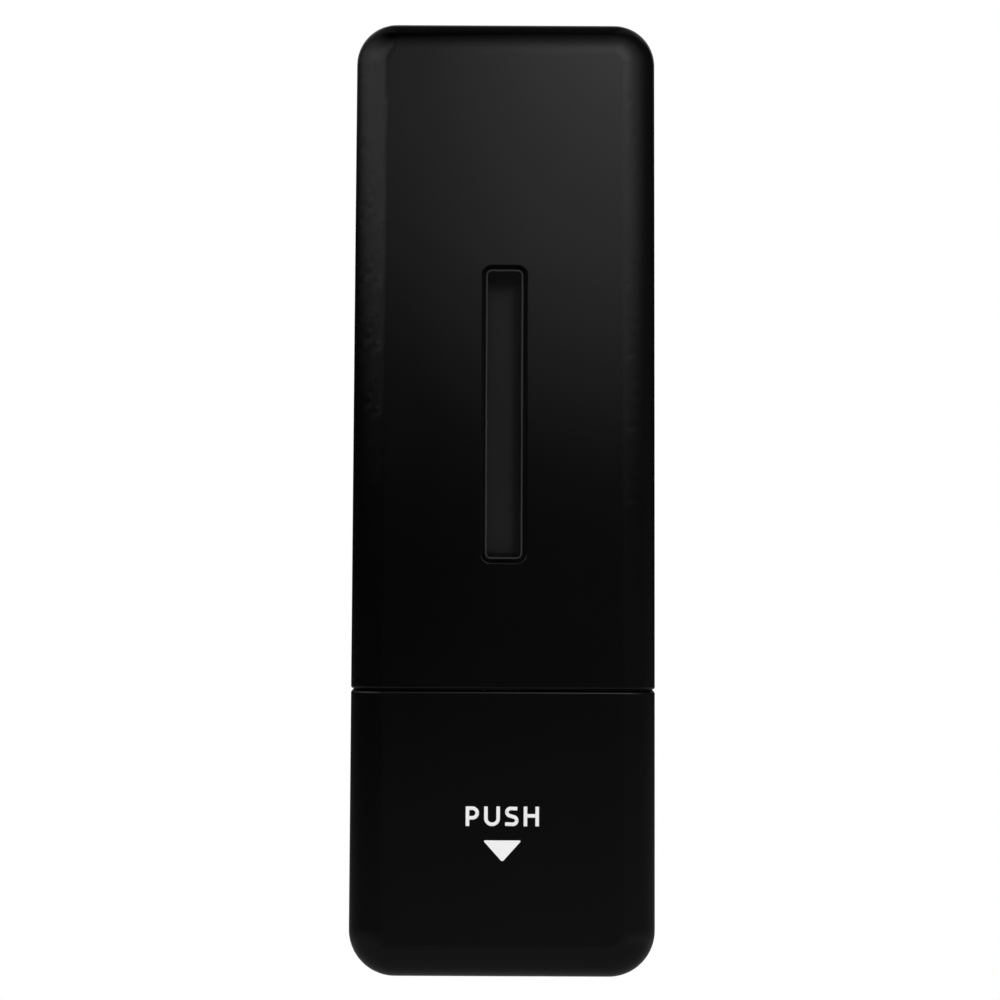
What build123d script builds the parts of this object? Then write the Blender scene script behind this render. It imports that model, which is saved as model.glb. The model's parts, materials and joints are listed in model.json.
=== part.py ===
from build123d import *
import os
from math import cos, pi, sin, sqrt

# Wall-mounted push-button soap dispenser, in millimetres.
# +Z is up, +Y points into the wall and the front faces -Y.
# The origin is the centre of the wall plate's back face, so the wall is the plane Y = 0.

os.makedirs("parts", exist_ok=True)

# Outer form, shared by the cover above and the push button below
body_height = 210.0
width_bottom = 67.6
width_top = 65.6
body_depth = 72.0
crown_setback = 6.0
corner_radius_bottom = 10.2
corner_radius_top = 8.9
front_edge_radius = 7.0
shell_wall = 2.4
wall_clearance = 1.0
inner_round = 0.8

# Parting between cover and button: an outer shadow gap over a closer inner lip
button_height = 63.0
shadow_gap = 0.45
shadow_depth = 1.1
slip_gap = 0.25
edge_round = 0.5

# Level window in the cover's front
window_width = 10.0
window_length = 65.5
window_corner = 2.2
window_centre_height = 123.95
window_rim_round = 0.2
lens_margin = 0.9
lens_recess = 0.8
lens_bevel = 0.35
lens_flange_lap = 2.0
lens_flange = 1.2
window_gasket_thickness = 0.5
window_tank_gap = 0.4

# Wall plate with side lugs
plate_width = 40.0
plate_upper_margin = 21.0
plate_lower_margin = 18.75
plate_thickness = 4.0
plate_corner = 5.0
plate_rim = 2.0
plate_recess = 1.4
lug_reach = 4.5
lug_height = 14.0
lug_thickness = 1.6
lug_spacing = 60.0
lug_gap = 0.4
hook_wall = 2.1
hook_foot = 1.5
stop_width = 16.0
stop_height = 2.4
wall_hole_radius = 2.25
wall_hole_head = 4.4
wall_hole_spacing = 70.0
wall_hole_pad = 7.0

# Rear chassis
panel_thickness = 2.2
skirt_inset = 0.4
cover_gap = 0.5
deck_thickness = 3.0
bay_wall = 2.0
bay_front = 52.0
slide_gap = 0.6
rib_thickness = 1.6
rib_offset = 12.0

# Screws that hold cover and chassis together, from behind
boss_radius = 3.2
boss_length = 10.0
boss_merge = 0.3
screw_radius = 1.3
screw_head_radius = 2.3
screw_head_height = 1.6
screw_length = 11.0
screw_clearance = 0.15
pilot_clearance = 0.05
drive_width = 0.8
drive_depth = 0.8
lower_boss_rise = 19.0
upper_boss_drop = 23.0

# Reservoir
tank_wall = 1.5
tank_floor = 2.0
tank_top_drop = 8.4
tank_rear = 18.0
tank_round = 1.2
neck_radius = 14.5
neck_wall = 1.5
neck_seat_gap = 0.3
spigot_radius = 4.8
spigot_wall = 1.5
sump_radius = 11.0

# Refill lid and its hinge
lid_half_width = 18.0
lid_length = 36.0
lid_thickness = 2.2
lid_corner = 3.0
lid_gap = 0.35
hinge_inset = 17.0
hinge_rear_gap = 0.8
hinge_pin_radius = 1.0
hinge_pin_fit = 0.05
knuckle_inner = 10.0
knuckle_outer = 15.5
knuckle_gap = 0.3
knuckle_notch_gap = 0.7
pin_overhang = 0.6
lid_gasket_thickness = 1.1
lid_gasket_lap = 3.0
lid_plug_height = 2.4
lid_plug_wall = 1.4
finger_notch_radius = 9.0
finger_notch_depth = 1.3

# Push button
button_rear = 16.0
button_travel = 9.0
seat_pad = 0.8
socket_length = 8.0
socket_wall = 2.4
key_front = 50.0
key_length = 12.0
key_height = 4.0
key_depth = 2.4
key_gap = 0.35
key_upper_height = 48.0
key_lower_height = 15.0
spring_ring_height = 2.6
spring_ring_wall = 1.5
nozzle_slot_gap = 1.6
front_rib_offset = 21.0
front_rib_height = 3.0

# Piston pump, lying along Y behind the button
bore_radius = 8.5
cylinder_wall = 2.2
pump_end_wall = 2.5
dead_length = 7.4
cap_flange = 2.5
cap_plug = 1.8
cap_end_gap = 0.5
rest_gap = 0.3
piston_length = 5.0
piston_gap = 0.25
seal_gap = 0.05
seal_depth = 1.5
seal_width = 2.4
rod_radius = 4.0
rod_gap = 0.1
piston_pin_radius = 1.0
pump_ear_offset = 17.0
pump_ear_radius = 4.2
standoff_radius = 4.0
pump_screw_length = 9.0

# Inlet tower with its ball valve
tower_top_gap = 1.25
socket_depth = 9.0
socket_gap = 1.4
tower_wall = 1.8
seat_thickness = 2.5
seat_bore = 2.2
ball_radius = 3.0
ball_lift = 1.5
ball_side_gap = 1.0
ball_rest_gap = 0.05
cage_floor = 1.5
cage_slot = 1.6
inlet_length = 3.0
inlet_radius = 3.2
oring_squeeze_gap = 0.05
oring_drop = 3.5

# Outlet, duckbill valve and nozzle
outlet_radius = 6.0
outlet_bore = 3.0
nozzle_tip_height = 1.0
spout_length = 8.0
spout_radius = 5.6
spout_bore = 4.4
nut_radius = 8.0
nut_height = 6.0
nut_gap = 0.1
nut_flats = 12
duckbill_flange = 1.5
duckbill_radius = 3.6
duckbill_length = 6.5
duckbill_lip = 1.2
nozzle_hole_gap = 1.4

# Return spring round the pump cylinder
wire_radius = 0.65
spring_clearance = 0.9
spring_turns = 6.5
spring_end_pitch = 1.8
spring_seat_gap = 0.05
collar_thickness = 1.6
collar_gap = 0.5
collar_rim = 0.8

# The wall plate spans the tank's back between its margins, and its centre is the origin
plate_foot_height = button_height + slip_gap + deck_thickness + plate_lower_margin
plate_height = body_height - plate_foot_height - plate_upper_margin

# Levels
bottom_z = -plate_foot_height - plate_height / 2
top_z = bottom_z + body_height
button_top_z = bottom_z + button_height
lip_z = button_top_z + slip_gap
cover_z = button_top_z + shadow_gap
deck_z = lip_z
deck_top_z = deck_z + deck_thickness
window_z = bottom_z + window_centre_height
tank_top_z = top_z - shell_wall - tank_top_drop
lid_z = top_z - lid_thickness
neck_top_z = lid_z - lid_gasket_thickness - neck_seat_gap

# Planes from the wall forward
panel_rear_y = -plate_thickness - lug_gap
panel_front_y = panel_rear_y - panel_thickness

# The crown is an arc tangent to the button's upright front
crown_height = top_z - cover_z
crown_radius = (crown_height**2 + crown_setback**2) / (2 * crown_setback)
crown_centre_y = crown_radius - body_depth

# Pump chain, worked back from the button's inner front
spring_seat_y = -(body_depth - shell_wall - seat_pad)
socket_end_y = spring_seat_y + socket_length
cap_front_y = socket_end_y + button_travel + cap_end_gap
cylinder_front_y = cap_front_y + cap_flange
plug_end_y = cylinder_front_y + cap_plug
piston_front_y = plug_end_y + rest_gap
piston_rear_y = piston_front_y + piston_length
chamber_rear_y = piston_rear_y + button_travel + dead_length
pump_rear_y = chamber_rear_y + pump_end_wall
port_y = chamber_rear_y - dead_length / 2
cylinder_radius = bore_radius + cylinder_wall

# Inlet tower chain, worked down from the deck
tower_top_z = deck_z - tower_top_gap
socket_floor_z = tower_top_z - socket_depth
ball_closed_z = socket_floor_z - sqrt(ball_radius**2 - seat_bore**2)
ball_z = ball_closed_z - ball_lift
cage_z = ball_z - ball_radius - ball_rest_gap
pump_z = cage_z - cage_floor - inlet_length - bore_radius
socket_radius = spigot_radius + socket_gap
tower_radius = socket_radius + tower_wall
spigot_end_z = socket_floor_z + seat_thickness + rest_gap

# Outlet chain, worked up from the nozzle's tip
nozzle_tip_z = bottom_z + nozzle_tip_height
nut_floor_z = nozzle_tip_z + spout_length
outlet_end_z = nut_floor_z + duckbill_flange
nut_top_z = outlet_end_z + nut_height

# Spring sizes
collar_rear_y = port_y - tower_radius - collar_gap
collar_front_y = collar_rear_y - collar_thickness
spring_radius = cylinder_radius + spring_clearance + wire_radius
spring_outer = spring_radius + wire_radius
collar_radius = spring_outer + collar_rim

# Hinge
hinge_y = -hinge_inset
hinge_z = lid_z
lid_front_y = hinge_y - lid_length
neck_y = hinge_y - lid_length / 2 - lid_gasket_lap / 3
opening_rear_y = hinge_y + lid_thickness + hinge_rear_gap
opening_front_y = lid_front_y - lid_gap


def half_width(z):
    """Half of the tapered outline's width at a height."""
    share = (z - bottom_z) / body_height
    return (width_bottom + (width_top - width_bottom) * share) / 2


def moulded_block(inset, rear_y):
    """The tapered, crowned and rounded outer form, drawn in by an inset, from rear_y forward."""
    half_bottom = width_bottom / 2 - inset
    half_top = width_top / 2 - inset
    beyond = top_z + shell_wall
    front_y = inset - body_depth
    arc_end_y = crown_centre_y - sqrt((crown_radius - inset) ** 2 - (beyond - cover_z) ** 2)
    with BuildPart() as block:
        with BuildSketch(Plane.XZ.offset(-rear_y)):
            with BuildLine():
                Polyline(
                    (-half_bottom, bottom_z + inset),
                    (half_bottom, bottom_z + inset),
                    (half_top, top_z - inset),
                    (-half_top, top_z - inset),
                    close=True,
                )
            make_face()
            fillet(vertices().group_by(Axis.Y)[0], max(corner_radius_bottom - inset, inner_round))
            fillet(vertices().group_by(Axis.Y)[-1], max(corner_radius_top - inset, inner_round))
        extrude(amount=body_depth + rear_y + shell_wall)
        with BuildSketch(Plane.YZ):
            with BuildLine():
                front_line = Line((front_y, bottom_z - shell_wall), (front_y, cover_z))
                TangentArc(front_line @ 1, (arc_end_y, beyond), tangent=front_line % 1)
                Polyline(
                    (arc_end_y, beyond),
                    (rear_y + shell_wall, beyond),
                    (rear_y + shell_wall, bottom_z - shell_wall),
                    front_line @ 0,
                )
            make_face()
        extrude(amount=width_bottom, both=True, mode=Mode.INTERSECT)
        # The rim runs on smoothly all round the front, so its top edge stands for the whole
        front_faces = block.faces().sort_by(Axis.Y)[:2]
        top_edge = front_faces.edges().sort_by(Axis.Z)[-1]
        fillet(top_edge, max(front_edge_radius - inset, inner_round))
    return block.part


def level_slice(form, low_z, high_z):
    """What lies of a form between two heights."""
    with BuildPart() as piece:
        add(form)
        split(bisect_by=Plane.XY.offset(low_z), keep=Keep.TOP)
        split(bisect_by=Plane.XY.offset(high_z), keep=Keep.BOTTOM)
    return piece.part


def depth_slice(form, rear_y, front_y):
    """What lies of a form between two distances from the wall."""
    with BuildPart() as piece:
        add(form)
        split(bisect_by=Plane.XZ.offset(-rear_y), keep=Keep.TOP)
        split(bisect_by=Plane.XZ.offset(-front_y), keep=Keep.BOTTOM)
    return piece.part


def turned(profile_points, axis_y):
    """A solid of revolution about the upright line through the pump's ports."""
    with BuildPart() as piece:
        with BuildSketch(Plane.XZ.offset(-axis_y)):
            with BuildLine():
                Polyline(*profile_points, close=True)
            make_face()
        revolve(axis=Axis((0, axis_y, 0), (0, 0, 1)))
    return piece.part


# The nested forms that the shells, the chassis and the tank are cut from
outer_form = moulded_block(0, -wall_clearance)
lip_form = moulded_block(shadow_depth, -wall_clearance)
hollow_form = moulded_block(shell_wall, shell_wall)
inner_form = moulded_block(shell_wall + cover_gap, panel_rear_y)
bay_form = moulded_block(shell_wall + slide_gap, -wall_clearance)
bay_hollow = moulded_block(shell_wall + slide_gap + bay_wall, shell_wall)
skirt_form = moulded_block(skirt_inset, panel_rear_y)

# Screw points of the cover, inboard of its side walls
cover_screw_points = []
for boss_z in (deck_top_z + lower_boss_rise, top_z - upper_boss_drop):
    boss_x = half_width(boss_z) - shell_wall - boss_radius + boss_merge
    cover_screw_points.append((-boss_x, boss_z))
    cover_screw_points.append((boss_x, boss_z))
pump_screw_points = [(-pump_ear_offset, pump_z), (pump_ear_offset, pump_z)]

# Front cover: crowned shell, open below and behind
cover_lip = level_slice(lip_form, lip_z, cover_z + shell_wall)
with BuildPart() as front_cover:
    add(outer_form)
    split(bisect_by=Plane.XY.offset(cover_z), keep=Keep.TOP)
    lower_edges = front_cover.faces().sort_by(Axis.Z)[0].edges().sort_by(Axis.Y)[:-1]
    fillet(lower_edges, edge_round)
    add(cover_lip)
    add(hollow_form, mode=Mode.SUBTRACT)
    # Window slot with a softened rim
    with BuildSketch(Plane.XZ.offset(body_depth + edge_round)):
        with Locations((0, window_z)):
            RectangleRounded(window_width, window_length, window_corner)
    extrude(amount=-(crown_setback + 2 * shell_wall), mode=Mode.SUBTRACT)
    crown_faces = front_cover.faces().filter_by(GeomType.CYLINDER).sort_by(SortBy.AREA)[-2:]
    window_rim = crown_faces.sort_by(Axis.Y)[0].inner_wires()[0].edges()
    fillet(window_rim, window_rim_round)
    # Lid opening in the top, and a finger notch in front of it
    with BuildSketch(Plane.XY.offset(top_z + edge_round)):
        with Locations((0, (opening_rear_y + opening_front_y) / 2)):
            Rectangle(2 * (lid_half_width + lid_gap), opening_rear_y - opening_front_y)
        fillet(vertices().group_by(Axis.Y)[0], lid_corner + lid_gap)
    extrude(amount=-(2 * shell_wall), mode=Mode.SUBTRACT)
    with Locations((0, opening_front_y, top_z + finger_notch_radius - finger_notch_depth)):
        Sphere(finger_notch_radius, mode=Mode.SUBTRACT)
    # Two hinge knuckles on tabs from the rear of the opening
    for side in (-1, 1):
        with BuildSketch(Plane.YZ.offset(side * (knuckle_inner + knuckle_outer) / 2)):
            with Locations((hinge_y, hinge_z)):
                Circle(lid_thickness)
            with Locations(((hinge_y + opening_rear_y + shell_wall) / 2, (hinge_z + top_z) / 2)):
                Rectangle(opening_rear_y + shell_wall - hinge_y, top_z - hinge_z)
        extrude(amount=(knuckle_outer - knuckle_inner) / 2, both=True)
    with BuildSketch(Plane.YZ):
        with Locations((hinge_y, hinge_z)):
            Circle(hinge_pin_radius)
    extrude(amount=knuckle_outer + shell_wall, both=True, mode=Mode.SUBTRACT)
    # Screw bosses on the side walls
    with BuildSketch(Plane.XZ.offset(-panel_front_y)):
        with Locations(*cover_screw_points):
            Circle(boss_radius)
    extrude(amount=boss_length)
    with BuildSketch(Plane.XZ.offset(-panel_front_y)):
        with Locations(*cover_screw_points):
            Circle(screw_radius + pilot_clearance)
    extrude(amount=boss_length - shell_wall / 2, mode=Mode.SUBTRACT)
front_cover.part.label = "front_cover"
export_step(front_cover.part, "parts/front_cover.step")

# Window gasket: a thin frame between the cover's inner face and the lens flange
flange_width = window_width + 2 * lens_flange_lap
flange_length = window_length + 2 * lens_flange_lap
gasket_back = moulded_block(shell_wall + window_gasket_thickness, 0)
lens_back_inset = shell_wall + window_gasket_thickness + lens_flange
lens_back = moulded_block(lens_back_inset, 0)
lens_front = moulded_block(lens_recess, 0)
window_reach = crown_setback + 3 * shell_wall
with BuildPart() as window_gasket:
    with BuildSketch(Plane.XZ.offset(body_depth)):
        with Locations((0, window_z)):
            RectangleRounded(flange_width, flange_length, window_corner + lens_flange_lap)
            RectangleRounded(window_width, window_length, window_corner, mode=Mode.SUBTRACT)
    extrude(amount=-window_reach)
    add(hollow_form, mode=Mode.INTERSECT)
    add(gasket_back, mode=Mode.SUBTRACT)
window_gasket.part.label = "window_gasket"
export_step(window_gasket.part, "parts/window_gasket.step")

# Window lens: a bevelled land standing in the slot, on a flange behind the wall
with BuildPart() as lens_land:
    with BuildSketch(Plane.XZ.offset(body_depth)):
        with Locations((0, window_z)):
            RectangleRounded(
                window_width - 2 * lens_margin, window_length - 2 * lens_margin, window_corner - lens_margin
            )
    extrude(amount=-window_reach)
    add(lens_front, mode=Mode.INTERSECT)
    add(lens_back, mode=Mode.SUBTRACT)
    chamfer(lens_land.faces().sort_by(Axis.Y)[0].edges(), lens_bevel)
with BuildPart() as window_lens:
    with BuildSketch(Plane.XZ.offset(body_depth)):
        with Locations((0, window_z)):
            RectangleRounded(flange_width, flange_length, window_corner + lens_flange_lap)
    extrude(amount=-window_reach)
    add(gasket_back, mode=Mode.INTERSECT)
    add(lens_back, mode=Mode.SUBTRACT)
    add(lens_land.part)
window_lens.part.label = "window_lens"
export_step(window_lens.part, "parts/window_lens.step")

# Wall plate: dished plate with countersunk holes in round pads and four side lugs
with BuildPart() as wall_plate:
    with BuildSketch(Plane.XZ):
        RectangleRounded(plate_width, plate_height, plate_corner)
    extrude(amount=plate_thickness)
    with BuildSketch(Plane.XZ.offset(plate_thickness)):
        RectangleRounded(plate_width - 2 * plate_rim, plate_height - 2 * plate_rim, plate_corner - plate_rim)
        with GridLocations(0, wall_hole_spacing, 1, 2):
            Circle(wall_hole_pad, mode=Mode.SUBTRACT)
        Rectangle(plate_rim, plate_height, mode=Mode.SUBTRACT)
        with GridLocations(0, lug_spacing, 1, 2):
            Rectangle(plate_width, plate_rim, mode=Mode.SUBTRACT)
    extrude(amount=-plate_recess, mode=Mode.SUBTRACT)
    with BuildSketch(Plane.XZ.offset(plate_thickness)):
        with GridLocations(plate_width + lug_reach - plate_rim, lug_spacing, 2, 2):
            Rectangle(lug_reach + plate_rim, lug_height)
    extrude(amount=-lug_thickness)
    with Locations(Plane.XZ.offset(plate_thickness)):
        with GridLocations(0, wall_hole_spacing, 1, 2):
            CounterSinkHole(wall_hole_radius, wall_hole_head, plate_thickness)
wall_plate.part.label = "wall_plate"
export_step(wall_plate.part, "parts/wall_plate.step")

# Rear chassis: back panel, deck under the tank, pump bay, wall hooks and standoffs
panel_upper = level_slice(depth_slice(inner_form, panel_rear_y, panel_front_y), deck_z, top_z)
panel_lower = level_slice(depth_slice(bay_form, panel_rear_y, panel_front_y), bottom_z, deck_top_z)
rear_skirt = level_slice(depth_slice(skirt_form, panel_rear_y, panel_front_y), bottom_z, button_top_z)
deck_plate = level_slice(inner_form, deck_z, deck_top_z)
bay_box = level_slice(depth_slice(bay_form, -wall_clearance, -bay_front), bottom_z, deck_top_z)
bay_void = level_slice(bay_hollow, bottom_z, deck_z)
hook_arm_x = plate_width / 2 + lug_reach + lug_gap
hook_foot_front_y = lug_thickness + lug_gap - plate_thickness
slot_end_y = key_length - key_front + button_travel + rest_gap
with BuildPart() as rear_chassis:
    add(bay_box)
    add(bay_void, mode=Mode.SUBTRACT)
    add(panel_lower)
    add(rear_skirt)
    add(panel_upper)
    add(deck_plate)
    # Four L-shaped hooks that slide down behind the wall plate's lugs
    for hook_z in (-lug_spacing / 2, lug_spacing / 2):
        for side in (-1, 1):
            with BuildSketch(Plane.XY.offset(hook_z)):
                with BuildLine():
                    Polyline(
                        (side * hook_arm_x, panel_front_y),
                        (side * hook_arm_x, hook_foot_front_y),
                        (side * (plate_width / 2 + lug_gap), hook_foot_front_y),
                        (side * (plate_width / 2 + lug_gap), hook_foot_front_y + hook_foot),
                        (side * (hook_arm_x + hook_wall), hook_foot_front_y + hook_foot),
                        (side * (hook_arm_x + hook_wall), panel_front_y),
                        close=True,
                    )
                make_face()
            extrude(amount=lug_height / 2, both=True)
    # Stop that hangs on the wall plate's upper edge
    with BuildSketch(Plane.XZ.offset(-panel_front_y)):
        with Locations((0, plate_height / 2 + stop_height / 2)):
            Rectangle(stop_width, stop_height)
    extrude(amount=panel_front_y + wall_clearance)
    # Upright ribs that locate the tank
    with BuildSketch(Plane.XY.offset(deck_z)):
        with Locations((-rib_offset, -(tank_rear - rest_gap + panel_thickness - panel_rear_y) / 2)):
            Rectangle(rib_thickness, tank_rear - rest_gap - panel_thickness + panel_rear_y)
        with Locations((rib_offset, -(tank_rear - rest_gap + panel_thickness - panel_rear_y) / 2)):
            Rectangle(rib_thickness, tank_rear - rest_gap - panel_thickness + panel_rear_y)
    extrude(amount=tank_top_z - deck_z - 2 * deck_thickness)
    # Pump standoffs
    with BuildSketch(Plane.XZ.offset(-panel_rear_y)):
        with Locations(*pump_screw_points):
            Circle(standoff_radius)
    extrude(amount=panel_rear_y - pump_rear_y)
    with BuildSketch(Plane.XZ.offset(-pump_rear_y)):
        with Locations(*pump_screw_points):
            Circle(screw_radius + pilot_clearance)
    extrude(amount=-(pump_screw_length - pump_end_wall + rest_gap), mode=Mode.SUBTRACT)
    # Clearance holes for the cover screws
    with BuildSketch(Plane.XZ.offset(-panel_rear_y)):
        with Locations(*cover_screw_points):
            Circle(screw_radius + screw_clearance)
    extrude(amount=panel_thickness, mode=Mode.SUBTRACT)
    # Spigot hole in the deck and nozzle hole in the bay floor
    with BuildSketch(Plane.XY.offset(deck_z)):
        with Locations((0, port_y)):
            Circle(spigot_radius + rest_gap)
    extrude(amount=deck_thickness, mode=Mode.SUBTRACT)
    with BuildSketch(Plane.XY.offset(bottom_z)):
        with Locations((0, port_y)):
            Circle(spout_radius + nozzle_hole_gap)
    extrude(amount=shell_wall + slide_gap + 2 * bay_wall, mode=Mode.SUBTRACT)
    # Guide slots for the button's keys, open to the front
    slot_length = bay_front + slot_end_y
    with BuildSketch(Plane.YZ):
        for key_z in (bottom_z + key_upper_height, bottom_z + key_lower_height):
            with Locations((slot_end_y - slot_length / 2, key_z)):
                Rectangle(slot_length, key_height + 2 * key_gap)
    extrude(amount=width_bottom / 2, both=True, mode=Mode.SUBTRACT)
rear_chassis.part.label = "rear_chassis"
export_step(rear_chassis.part, "parts/rear_chassis.step")

# Reservoir: crowned tank with a filler neck above and an outlet spigot below
tank_inset = lens_back_inset + window_tank_gap
tank_form = moulded_block(tank_inset, -tank_rear)
tank_hollow = moulded_block(tank_inset + tank_wall, -tank_rear - tank_wall)
tank_block = level_slice(tank_form, deck_top_z, tank_top_z)
tank_void = level_slice(tank_hollow, deck_top_z + tank_floor, tank_top_z - tank_wall)
with BuildPart() as reservoir:
    add(tank_block)
    tank_rim = reservoir.faces().sort_by(Axis.Z)[-1].edges()
    tank_rear_edges = reservoir.faces().sort_by(Axis.Y)[-1].edges().filter_by(Axis.X, reverse=True)
    fillet(tank_rim + tank_rear_edges, tank_round)
    with BuildSketch(Plane.XY.offset(tank_top_z - tank_wall)):
        with Locations((0, neck_y)):
            Circle(neck_radius)
    extrude(amount=neck_top_z - tank_top_z + tank_wall)
    with BuildSketch(Plane.XY.offset(deck_top_z)):
        with Locations((0, port_y)):
            Circle(spigot_radius)
    extrude(amount=spigot_end_z - deck_top_z)
    add(tank_void, mode=Mode.SUBTRACT)
    with BuildSketch(Plane.XY.offset(neck_top_z)):
        with Locations((0, neck_y)):
            Circle(neck_radius - neck_wall)
    extrude(amount=tank_top_z - neck_top_z - 2 * tank_wall, mode=Mode.SUBTRACT)
    with Locations((0, port_y, deck_top_z + tank_floor)):
        CounterSinkHole(
            spigot_radius - spigot_wall, sump_radius, deck_top_z + tank_floor - spigot_end_z, 160
        )
reservoir.part.label = "reservoir"
export_step(reservoir.part, "parts/reservoir.step")

# Refill lid: flush plate with a rounded rear edge, a centre knuckle and a plug ring
with BuildPart() as refill_lid:
    with BuildSketch(Plane.XY.offset(lid_z)):
        with Locations((0, hinge_y - lid_length / 2)):
            Rectangle(2 * lid_half_width, lid_length)
        fillet(vertices().group_by(Axis.Y)[0], lid_corner)
    extrude(amount=lid_thickness)
    with BuildSketch(Plane.YZ):
        with Locations((hinge_y, hinge_z)):
            Circle(lid_thickness)
        with Locations((hinge_y, hinge_z - lid_thickness / 2)):
            Rectangle(2 * lid_thickness, lid_thickness, mode=Mode.SUBTRACT)
    extrude(amount=lid_half_width, both=True)
    for side in (-1, 1):
        with BuildSketch(Plane.YZ.offset(side * (knuckle_inner + knuckle_outer) / 2)):
            with Locations((hinge_y, hinge_z)):
                Rectangle(2 * (lid_thickness + knuckle_notch_gap), 2 * (lid_thickness + knuckle_notch_gap))
        extrude(amount=(knuckle_outer - knuckle_inner) / 2 + knuckle_gap, both=True, mode=Mode.SUBTRACT)
    with BuildSketch(Plane.YZ):
        with Locations((hinge_y, hinge_z)):
            Circle(lid_thickness)
    extrude(amount=knuckle_inner - knuckle_gap, both=True)
    with BuildSketch(Plane.XY.offset(lid_z)):
        with Locations((0, neck_y)):
            Circle(neck_radius - neck_wall - lid_gasket_lap)
            Circle(neck_radius - neck_wall - lid_gasket_lap - lid_plug_wall, mode=Mode.SUBTRACT)
    extrude(amount=-lid_plug_height)
    with BuildSketch(Plane.YZ):
        with Locations((hinge_y, hinge_z)):
            Circle(hinge_pin_radius + hinge_pin_fit)
    extrude(amount=lid_half_width, both=True, mode=Mode.SUBTRACT)
refill_lid.part.label = "refill_lid"
export_step(refill_lid.part, "parts/refill_lid.step")

with BuildPart() as lid_gasket:
    with BuildSketch(Plane.XY.offset(lid_z)):
        with Locations((0, neck_y)):
            Circle(neck_radius)
            Circle(neck_radius - neck_wall - lid_gasket_lap, mode=Mode.SUBTRACT)
    extrude(amount=-lid_gasket_thickness)
lid_gasket.part.label = "lid_gasket"
export_step(lid_gasket.part, "parts/lid_gasket.step")

with BuildPart() as lid_hinge_pin:
    with BuildSketch(Plane.YZ):
        with Locations((hinge_y, hinge_z)):
            Circle(hinge_pin_radius)
    extrude(amount=knuckle_outer + pin_overhang, both=True)
lid_hinge_pin.part.label = "lid_hinge_pin"
export_step(lid_hinge_pin.part, "parts/lid_hinge_pin.step")

# Push button: open-backed shell with rod socket, spring ring, guide keys and nozzle slot
button_form = moulded_block(0, -button_rear)
button_hollow = moulded_block(shell_wall, shell_wall - button_rear)
spring_ring_inner = spring_outer + spring_clearance / 2
nozzle_slot_half = spout_radius + nozzle_slot_gap
nozzle_slot_front = port_y - nozzle_slot_half - button_travel
with BuildPart() as push_button:
    add(button_form)
    split(bisect_by=Plane.XY.offset(button_top_z), keep=Keep.BOTTOM)
    upper_edges = push_button.faces().sort_by(Axis.Z)[-1].edges().sort_by(Axis.Y)[:-1]
    fillet(upper_edges, edge_round)
    add(button_hollow, mode=Mode.SUBTRACT)
    # Flat spring seat, ring that centres the spring, and the piston rod's socket
    with BuildSketch(Plane.XZ.offset(-spring_seat_y)):
        with Locations((0, pump_z)):
            Circle(spring_ring_inner + spring_ring_wall)
    extrude(amount=seat_pad + shell_wall / 2)
    with BuildSketch(Plane.XZ.offset(-spring_seat_y)):
        with Locations((0, pump_z)):
            Circle(spring_ring_inner + spring_ring_wall)
            Circle(spring_ring_inner, mode=Mode.SUBTRACT)
    extrude(amount=-spring_ring_height)
    with BuildSketch(Plane.XZ.offset(-spring_seat_y)):
        with Locations((0, pump_z)):
            Circle(rod_radius + socket_wall)
            Circle(rod_radius, mode=Mode.SUBTRACT)
    extrude(amount=-socket_length)
    with BuildSketch(Plane.YZ):
        with Locations((spring_seat_y + socket_length / 2, pump_z)):
            Circle(piston_pin_radius)
    extrude(amount=rod_radius + socket_wall, both=True, mode=Mode.SUBTRACT)
    # Upright stiffening ribs behind the front
    with BuildSketch(Plane.XZ.offset(body_depth - shell_wall - front_rib_height)):
        with Locations((-front_rib_offset, (bottom_z + button_top_z) / 2)):
            Rectangle(rib_thickness, button_height - 4 * shell_wall)
        with Locations((front_rib_offset, (bottom_z + button_top_z) / 2)):
            Rectangle(rib_thickness, button_height - 4 * shell_wall)
    extrude(amount=front_rib_height + shell_wall / 2)
    # Four keys that run in the bay's slots
    for key_z in (bottom_z + key_upper_height, bottom_z + key_lower_height):
        key_root = half_width(key_z) - shell_wall / 2
        for side in (-1, 1):
            with BuildSketch(Plane.XY.offset(key_z)):
                with Locations((side * (key_root - (key_depth + shell_wall / 2) / 2), key_length / 2 - key_front)):
                    Rectangle(key_depth + shell_wall / 2, key_length)
            extrude(amount=key_height / 2, both=True)
    # Slot in the underside for the fixed nozzle, open to the rear
    with BuildSketch(Plane.XY.offset(bottom_z)):
        with Locations((0, (nozzle_slot_front + nozzle_slot_half) / 2)):
            Rectangle(2 * nozzle_slot_half, -nozzle_slot_front - nozzle_slot_half)
        with Locations((0, nozzle_slot_front + nozzle_slot_half)):
            Circle(nozzle_slot_half)
    extrude(amount=shell_wall + slide_gap, mode=Mode.SUBTRACT)
push_button.part.label = "push_button"
export_step(push_button.part, "parts/push_button.step")

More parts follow.
